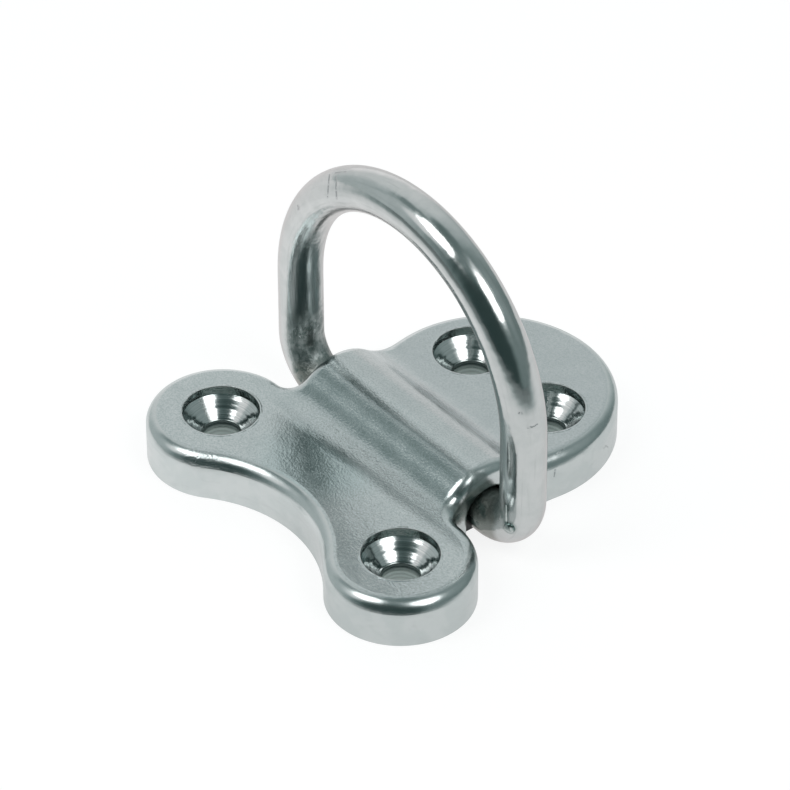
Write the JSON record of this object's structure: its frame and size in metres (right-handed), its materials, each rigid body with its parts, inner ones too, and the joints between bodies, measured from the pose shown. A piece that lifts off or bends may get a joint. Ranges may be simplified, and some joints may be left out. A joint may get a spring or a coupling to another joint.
{
  "type": "folding pad eye",
  "caption": "Folding pad eye for a deck: a polished D ring of round wire turns in a groove under a ribbed base plate with countersunk screw holes.",
  "frame": {"origin": "on the mounting face, straight under the middle of the hinge bar", "axes": "+X along the hinge bar, +Y from the bar to the round far end of the plate, +Z out of the deck, up the standing ring"},
  "size_m": [0.0758, 0.0758, 0.0603],
  "materials": {
    "satin_steel": "satin, with polished edges and machined countersinks",
    "polished_steel": "mirror polished",
    "black_acetal": "matte"
  },
  "bodies": {
    "base": {"base_plate": "satin_steel", "friction_cradle": "black_acetal"},
    "ring": {"d_ring": "polished_steel"}
  },
  "joints": [
    {"name": "ring_hinge", "type": "hinge", "parent": "base", "child": "ring", "pos_m": [0, 0, 0.0047], "axis": [-1, 0, 0], "range_deg": [-48, 90]}
  ]
}
